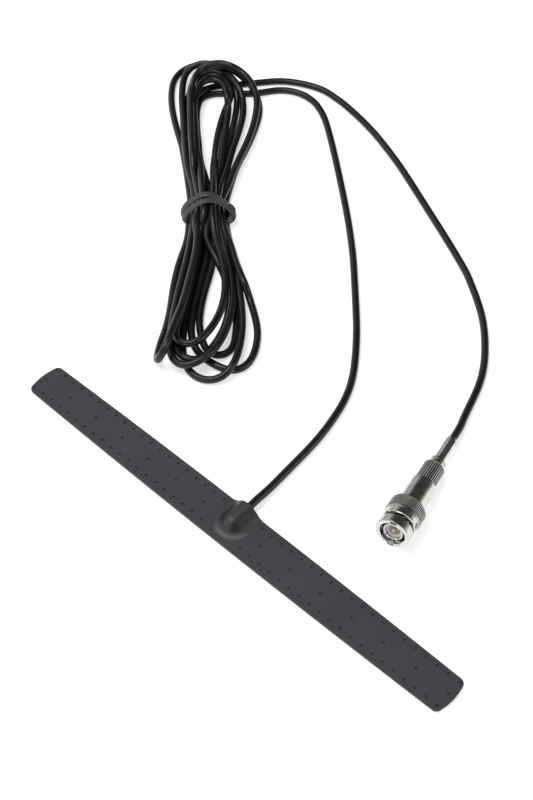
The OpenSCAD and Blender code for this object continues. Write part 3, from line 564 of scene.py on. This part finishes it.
def add_surface(material_tree, shader, group, values, plug_frame=False):
    """Places one of the shared groups between the object's own coordinates and the shader."""
    new, link = material_tree.nodes.new, material_tree.links.new
    place = new("ShaderNodeTexCoord").outputs["Object"]
    if plug_frame:
        turn = new("ShaderNodeMapping")
        turn.vector_type = "TEXTURE"
        turn.inputs["Location"].default_value = [c * MM for c in PLUG_ENTRY]
        turn.inputs["Rotation"].default_value = PLUG_TURN
        link(place, turn.inputs["Vector"])
        place = turn.outputs["Vector"]
    node = new("ShaderNodeGroup")
    node.node_tree = group
    link(place, node.inputs["Vector"])
    for label, value in values.items():
        node.inputs[label].default_value = value
    for result, socket in (("Color", "Base Color"), ("Roughness", "Roughness"),
                           ("Normal", "Normal")):
        link(node.outputs[result], shader.inputs[socket])


def moulded(name, light, dark, smooth, rough, grain=3000.0, relief=0.3, dust=0.1, specular=0.5):
    material, tree, shader = finish_named(name, specular=specular)
    add_surface(tree, shader, MOULDED, {
        "Grain Scale": grain, "Relief": relief, "Light Tone": (*light, 1), "Dark Tone": (*dark, 1),
        "Dust": dust, "Smooth": smooth, "Rough": rough})
    return material


def turned(name, bright, dull, smooth, rough, marks=9000.0, relief=0.2):
    material, tree, shader = finish_named(name, metallic=1.0)
    add_surface(tree, shader, TURNED, {
        "Mark Scale": marks, "Relief": relief, "Bright Tone": (*bright, 1), "Dull Tone": (*dull, 1),
        "Smooth": smooth, "Rough": rough}, plug_frame=True)
    return material


FINISHES = {
    "cover_rubber": moulded("charcoal_cover", (0.062, 0.064, 0.07), (0.042, 0.044, 0.05),
                            0.6, 0.76, grain=5200.0, relief=0.5, dust=0.04, specular=0.35),
    "film": moulded("amber_film", (0.5, 0.25, 0.05), (0.42, 0.2, 0.04),
                    0.25, 0.4, relief=0.05, dust=0.0),
    "copper_foil": turned("copper_foil", (0.85, 0.45, 0.3), (0.7, 0.33, 0.2), 0.25, 0.4),
    "foam_tape": moulded("foam_tape", (0.72, 0.72, 0.7), (0.62, 0.62, 0.6),
                         0.85, 0.95, grain=1500.0, relief=0.8, dust=0.0, specular=0.2),
    "cable_jacket": moulded("black_jacket", (0.012, 0.0125, 0.0135), (0.007, 0.0072, 0.008),
                            0.26, 0.36, grain=2600.0, relief=0.1, dust=0.02, specular=0.4),
    "solder": turned("tin_solder", (0.72, 0.72, 0.73), (0.55, 0.55, 0.56),
                     0.2, 0.35, relief=0.0),
    "tie": moulded("grey_tie", (0.085, 0.087, 0.092), (0.045, 0.047, 0.051),
                   0.42, 0.6, grain=3400.0, relief=0.5, dust=0.1, specular=0.4),
    "nickel": turned("bright_nickel", (0.71, 0.7, 0.68), (0.58, 0.57, 0.54), 0.08, 0.2),
    "seal_rubber": moulded("seal_rubber", (0.03, 0.03, 0.03), (0.02, 0.02, 0.02), 0.5, 0.7),
    "insulator": moulded("white_insulator", (0.9, 0.93, 0.96), (0.82, 0.85, 0.89),
                         0.35, 0.5, relief=0.1, dust=0.0),
    "gold": turned("pin_gold", (0.78, 0.6, 0.28), (0.66, 0.48, 0.2), 0.18, 0.32),
    "gasket": moulded("red_gasket", (0.16, 0.03, 0.02), (0.1, 0.02, 0.014),
                      0.4, 0.6, dust=0.0),
    "spring_steel": turned("spring_steel", (0.6, 0.6, 0.6), (0.45, 0.45, 0.45), 0.25, 0.4),
}
# Rubbed wear, painted shade and painted highlights: slot, mask and its result, share, and the
# shader's socket with what it is blended toward
WEAR_AND_PAINTED_LIGHT = (
    ("cover_rubber", RUB_AND_PAINTED_LIGHT, "Hump", 1.0, "Roughness", 0.36),
    # Painted shade: the boss's flanks are darkened
    ("cover_rubber", RUB_AND_PAINTED_LIGHT, "Flank", 0.85, "Base Color", (0.011, 0.0115, 0.013)),
    # Painted highlight: the skirt round the boss's nose is lightened
    ("cover_rubber", RUB_AND_PAINTED_LIGHT, "Skirt", 0.7, "Base Color", (0.13, 0.137, 0.142)),
    # Painted shade: the bottoms of the knurl, flutes and neck are darkened
    ("nickel", RIDGES, "Film", 0.9, "Base Color", (0.05, 0.05, 0.048)),
    ("nickel", RIDGES, "Crest", 1.0, "Roughness", 0.44),
)


def blend_wear_and_painted_light(material, group, label, share, socket, value):
    """Blends one of the shader's colours or numbers toward a value where the mask says."""
    tree = material.node_tree
    shader = tree.nodes["Principled BSDF"]
    surface = [n for n in tree.nodes
               if n.type == "GROUP" and n.node_tree in (MOULDED, TURNED)][0]
    mask = tree.nodes.new("ShaderNodeGroup")
    mask.node_tree = group
    tree.links.new(surface.inputs["Vector"].links[0].from_socket, mask.inputs["Vector"])
    amount = times(tree, mask.outputs[label], share)
    before = shader.inputs[socket].links[0].from_socket
    if isinstance(value, tuple):
        after = blend_colour(tree, amount, before, (*value, 1))
    else:
        after = spread(tree, amount, 0.0, 1.0, before, value)
    tree.links.new(after, shader.inputs[socket])


for slot, *wear_and_light in WEAR_AND_PAINTED_LIGHT:
    blend_wear_and_painted_light(FINISHES[slot], *wear_and_light)
for part in frame["record"]["subparts"]:
    skin = nodes[part["node"]]
    skin.data.materials.clear()
    skin.data.materials.append(FINISHES[part["material_slot"]])


def add_piece(piece, slot, *stands_for):
    """Gives a new piece the finish of its slot and its body, and hides what it stands for."""
    piece.data.materials.clear()
    piece.data.materials.append(FINISHES[slot])
    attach(piece, BODY)
    if stands_for:
        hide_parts(*stands_for)


# ---------------------------------------------------------------- tie
RIBBON_W = 3.1
UNDER_W = RIBBON_W + 1.6
END_W, END_T = 2.2, 1.3
EDGE_ROUND = 0.4
# The waist's middle as (u, height), the room between the tie and the strands, and that between
# the tie and the floor
WAIST_MIDDLE = (0, 5.6)
STAND_OFF, FLOOR_ROOM = 0.2, 0.1
FRONT_WAY = (-0.2, -0.75, 0.6)
# Below this height the smoothing doesn't lower the tie
LOW_HEIGHT, TIE_SMOOTHING = 2.2, 30
# Rows of (turn in degrees, stand-off, v, share turned to the front): the back pass lies over
# the strands, and the front pass crosses from beneath it at the left to beside it at the right
BACK_PASS = [(-40, 0.1, -2.2, 0), (-10, 0.2, -1.8, 0), (20, 0.2, -1.4, 0), (50, 0.2, -0.9, 0),
             (80, 0.2, -0.4, 0), (110, 0.3, -0.2, 0), (140, 0.4, -0.6, 0.1),
             (165, 0.8, -1.8, 0.4), (190, 1, -3.4, 0.6), (215, 0.7, -4.8, 0.5),
             (250, 0, -4.8, 0)]
FRONT_PASS = [(-40, 0.2, -4.2, 0), (-10, 0.3, -4, 0), (20, 0.5, -3.6, 0), (50, 0.5, -3.4, 0),
              (80, 0.3, -3.9, 0), (110, 0.3, -4.7, 0), (140, 0.5, -5.6, 0.1),
              (165, 0.5, -6.4, 0.4), (190, 0.4, -7.2, 0.5), (215, 0.2, -7.6, 0.4),
              (250, 0, -6.6, 0)]
UNDER_PASS = [(250, 0, -4.8, 0), (270, 0, -4.2, 0), (290, 0, -3.6, 0), (320, 0, -2.8, 0)]
# The two ends, twisted round this line at the side
KNOT = [(8.6, -1.6, 7), (9.9, -2.4, 6), (10.6, -3.6, 4.8), (10.5, -5, 3.8), (9.7, -6.3, 3),
        (8.4, -7.2, 2.8)]
KNOT_STEP, KNOT_RADIUS, KNOT_SPIN = 0.3, 0.9, 3 * math.pi


def node_tree(name, inputs):
    """A geometry tree with named inputs, and its group nodes."""
    tree = bpy.data.node_groups.new(name, "GeometryNodeTree")
    for label, kind in [("Geometry", "NodeSocketGeometry")] + inputs:
        tree.interface.new_socket(label, in_out="INPUT", socket_type=kind)
    tree.interface.new_socket("Geometry", in_out="OUTPUT", socket_type="NodeSocketGeometry")
    return tree, tree.nodes.new("NodeGroupInput"), tree.nodes.new("NodeGroupOutput")


def made_by(name, base, tree, values, material):
    """The tree's result on a base mesh, as a plain mesh object."""
    holder = own(bpy.data.objects.new(name + "_base", base))
    modifier = holder.modifiers.new("made", "NODES")
    modifier.node_group = tree
    keys = {i.name: i.identifier for i in tree.interface.items_tree if i.in_out == "INPUT"}
    for label, value in {**values, "Material": material}.items():
        modifier[keys[label]] = value
    finished = holder.evaluated_get(bpy.context.evaluated_depsgraph_get())
    shape = bpy.data.meshes.new_from_object(finished)
    holder.modifiers.remove(modifier)
    bpy.data.objects.remove(holder)
    shape.name = name
    return own(bpy.data.objects.new(name, shape))


def ribbon_tree():
    """A flat ribbon with rounded edges swept along the base's edges; its flat side faces the
    base's "outward" attribute."""
    tree, given, made = node_tree("tie_ribbon", [
        ("Width", "NodeSocketFloat"), ("Thickness", "NodeSocketFloat"),
        ("Edge Round", "NodeSocketFloat"), ("Material", "NodeSocketMaterial")])
    new = tree.nodes.new
    path = new("GeometryNodeMeshToCurve")
    outward = new("GeometryNodeInputNamedAttribute")
    outward.data_type = "FLOAT_VECTOR"
    outward.inputs["Name"].default_value = "outward"
    facing = new("GeometryNodeSetCurveNormal")
    facing.mode = "FREE"
    profile = new("GeometryNodeCurvePrimitiveQuadrilateral")
    rounded = new("GeometryNodeFilletCurve")
    swept = new("GeometryNodeCurveToMesh")
    swept.inputs["Fill Caps"].default_value = True
    smooth = new("GeometryNodeSetShadeSmooth")
    real = new("GeometryNodeRealizeInstances")
    skin = new("GeometryNodeSetMaterial")
    for source, result, target, socket in (
            (given, "Geometry", path, "Mesh"), (path, "Curve", facing, "Curve"),
            (outward, "Attribute", facing, "Normal"), (given, "Thickness", profile, "Width"),
            (given, "Width", profile, "Height"), (profile, "Curve", rounded, "Curve"),
            (given, "Edge Round", rounded, "Radius"), (facing, "Curve", swept, "Curve"),
            (rounded, "Curve", swept, "Profile Curve"), (swept, "Mesh", smooth, "Geometry"),
            (smooth, "Geometry", real, "Geometry"), (real, "Geometry", skin, "Geometry"),
            (given, "Material", skin, "Material"), (skin, "Geometry", made, "Geometry")):
        tree.links.new(source.outputs[result], target.inputs[socket])
    return tree


def in_row(points):
    """Points of the hank's frame, in the row frame and in metres."""
    points = np.array(points, float)
    flat = np.array(HANK_PLACE) + points[:, :2] @ HANK_AXES
    return np.column_stack([flat, points[:, 2]]) * MM


def facing_row(ways):
    """Directions of the hank's frame, in the row frame."""
    ways = np.array(ways, float)
    return np.column_stack([ways[:, :2] @ HANK_AXES, ways[:, 2]])


def ribbon(name, points, outward, tree, width, thickness):
    """One ribbon of the tie along points of the hank's frame."""
    base = bpy.data.meshes.new(name + "_path")
    links = [(i, i + 1) for i in range(len(points) - 1)]
    base.from_pydata([tuple(p) for p in in_row(points)], links, [])
    ways = base.attributes.new("outward", "FLOAT_VECTOR", "POINT")
    ways.data.foreach_set("vector", facing_row(outward).ravel())
    sizes = {"Width": width * MM, "Thickness": thickness * MM,
             "Edge Round": EDGE_ROUND * thickness * MM}
    return made_by(name, base, tree, sizes, FINISHES["tie"])


def round_waist(table):
    """Path round the strands under the tie through the rows of a table, and the way that the
    ribbon faces along it."""
    strands = np.array(sorted(set(UNDER_TIE)), float)
    middle = np.array(WAIST_MIDDLE)
    points, outward = [], []
    for degrees, lift, along, front in blend_any(table, 8):
        way = np.array([math.cos(math.radians(degrees)), math.sin(math.radians(degrees))])
        outer = (strands @ way).max() + CABLE_D / 2 + TIE_T / 2 + STAND_OFF + lift
        u, z = middle + way * (outer - middle @ way)
        lowest = TIE_T * 0.75 + FLOOR_ROOM + front * RIBBON_W * 0.5
        points.append((u, along, max(z, lowest)))
        facing = (1 - front) * np.array([way[0], 0, way[1]]) + front * np.array(FRONT_WAY)
        outward.append(facing / np.linalg.norm(facing))
    points = np.array(points)
    first_z = points[:, 2].copy()
    for _ in range(TIE_SMOOTHING):
        points[1:-1] = (points[:-2] + 2 * points[1:-1] + points[2:]) / 4
    low = first_z < LOW_HEIGHT
    points[low, 2] = np.maximum(points[low, 2], first_z[low])
    return points, np.array(outward)


ribbons = ribbon_tree()
band = [ribbon(name, *round_waist(table), ribbons, width, TIE_T) for name, table, width in (
    ("tie_back_pass", BACK_PASS, RIBBON_W), ("tie_front_pass", FRONT_PASS, RIBBON_W),
    ("tie_under", UNDER_PASS, UNDER_W))]

knot = evenly(blend(KNOT, 8), KNOT_STEP)
ahead = np.gradient(knot, axis=0)
ahead /= np.linalg.norm(ahead, axis=1)[:, None]
across = np.cross(ahead, (0.3, 0, 1))
across /= np.linalg.norm(across, axis=1)[:, None]
square = np.cross(across, ahead)
spin = np.linspace(0, KNOT_SPIN, len(knot))[:, None]
for start in (0, math.pi):
    way = np.cos(spin + start) * across + np.sin(spin + start) * square
    band.append(ribbon("tie_end", knot + KNOT_RADIUS * way, way, ribbons, END_W, END_T))
bpy.ops.object.select_all(action="DESELECT")
for piece in band:
    piece.select_set(True)
bpy.context.view_layer.objects.active = band[0]
bpy.ops.object.join()
tie = band[0]
tie.name = "twisted_tie"
add_piece(tie, "tie", "cable_tie")


def spring_washer():
    """The wave washer as a piece of its own."""
    mesh = nodes["wave_washer"].data.copy()
    mesh.name = "spring_washer"
    skin = bmesh.new()
    skin.from_mesh(mesh)
    bmesh.ops.remove_doubles(skin, verts=skin.verts, dist=TINY)
    bmesh.ops.recalc_face_normals(skin, faces=skin.faces)
    skin.to_mesh(mesh)
    skin.free()
    return own(bpy.data.objects.new("spring_washer", mesh))


spring = spring_washer()
add_piece(spring, "spring_steel", "wave_washer")
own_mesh(spring)

# ---------------------------------------------------------------- cable
add_piece(cable, "cable_jacket", "cable_lead", "cable_hank", "cable_tail")

# ---------------------------------------------------------------- floor and light
FLOOR_HALF = 3
FLOOR_SHADE = (0.8, 0.8, 0.8, 1)
# What the floor adds where the camera or a reflection sees it, so that it looks white
FLOOR_LIFT = 0.6
# The room's brightness from below to above, then the areas that add to it or dim it: the
# direction of each, its cosines at the edge and inside, and what it gives at both
ROOM = ((0, 0, 1), -0.1, 0.6, 0.5, 0.66)
ROOM_AREAS = (
    ("ADD", (0.78, 0.6, 0.2), 0.72, 0.92, 0.0, 0.5),
    ("ADD", (-0.85, -0.3, 0.4), 0.6, 0.95, 0.0, 0.25),
    ("MULTIPLY", (-0.02, 0.78, 0.62), 0.62, 0.84, 1.0, 0.1),
    ("MULTIPLY", (0.43, -0.46, 0.78), 0.8, 0.95, 1.0, 0.12),
    ("ADD", (0.25, -0.95, 0.12), 0.8, 0.95, 0.0, 1.2),
)
ROOM_LEVEL = 0.8


def fresh_tree(owner):
    """The owner's shader tree, emptied."""
    owner.use_nodes = True
    owner.node_tree.nodes.clear()
    return owner.node_tree


def seen_by(tree, *kinds):
    """1 for the rays of these kinds."""
    rays = tree.nodes.new("ShaderNodeLightPath")
    seen = rays.outputs[kinds[0]]
    for kind in kinds[1:]:
        seen = reckon(tree, "MAXIMUM", seen, rays.outputs[kind])
    return seen


floor_data = bpy.data.meshes.new("floor")
floor_data.from_pydata([(x * FLOOR_HALF, y * FLOOR_HALF, 0) for x, y in (
    (-1, -1), (1, -1), (1, 1), (-1, 1))], [], [(0, 1, 2, 3)])
floor = own(bpy.data.objects.new("floor", floor_data))
pale = bpy.data.materials.new("pale_floor")
tree = fresh_tree(pale)
matt = tree.nodes.new("ShaderNodeBsdfDiffuse")
matt.inputs["Color"].default_value = FLOOR_SHADE
lift = tree.nodes.new("ShaderNodeEmission")
both = tree.nodes.new("ShaderNodeAddShader")
seen = seen_by(tree, "Is Camera Ray", "Is Glossy Ray", "Is Transmission Ray")
tree.links.new(times(tree, seen, FLOOR_LIFT), lift.inputs["Strength"])
tree.links.new(matt.outputs[0], both.inputs[0])
tree.links.new(lift.outputs[0], both.inputs[1])
tree.links.new(both.outputs[0], tree.nodes.new("ShaderNodeOutputMaterial").inputs["Surface"])
floor_data.materials.append(pale)


def toward(tree, way, direction, low, high, out_low, out_high):
    """How far a ray's way points toward a direction, spread onto out_low..out_high."""
    node = tree.nodes.new("ShaderNodeVectorMath")
    node.operation = "DOT_PRODUCT"
    tree.links.new(way, node.inputs[0])
    node.inputs[1].default_value = Vector(direction).normalized()
    return spread(tree, node.outputs["Value"], low, high, out_low, out_high)


world = bpy.data.worlds.new("studio")
bpy.context.scene.world = world
tree = fresh_tree(world)
way = tree.nodes.new("ShaderNodeTexCoord").outputs["Generated"]
level = toward(tree, way, *ROOM)
for how, *area in ROOM_AREAS:
    level = reckon(tree, how, level, toward(tree, way, *area))
level = times(tree, level, ROOM_LEVEL)
# The camera sees plain white behind the part; the room above only lights it and is mirrored
light = tree.nodes.new("ShaderNodeMix")
light.data_type = "FLOAT"
tree.links.new(seen_by(tree, "Is Camera Ray", "Is Transmission Ray"), light.inputs[0])
tree.links.new(level, light.inputs[2])
light.inputs[3].default_value = 1.0
sky = tree.nodes.new("ShaderNodeBackground")
sky.inputs["Color"].default_value = (1, 1, 1, 1)
tree.links.new(light.outputs[0], sky.inputs["Strength"])
tree.links.new(sky.outputs[0], tree.nodes.new("ShaderNodeOutputWorld").inputs["Surface"])


def soft_lamp(name, place, aim, size, power):
    data = bpy.data.lights.new(name, "AREA")
    data.shape, data.size, data.energy = "DISK", size, power
    lamp = own(bpy.data.objects.new(name, data))
    lamp.location = place
    lamp.rotation_euler = (Vector(aim) - Vector(place)).to_track_quat("-Z", "Y").to_euler()


soft_lamp("overhead", (-0.36, -0.08, 1.05), (-0.06, 0.07, 0), 0.7, 5.6)
soft_lamp("side", (0.9, 0.75, 0.6), (0, 0.05, 0), 0.35, 1.6)

bpy.context.scene.view_settings.view_transform = "Standard"
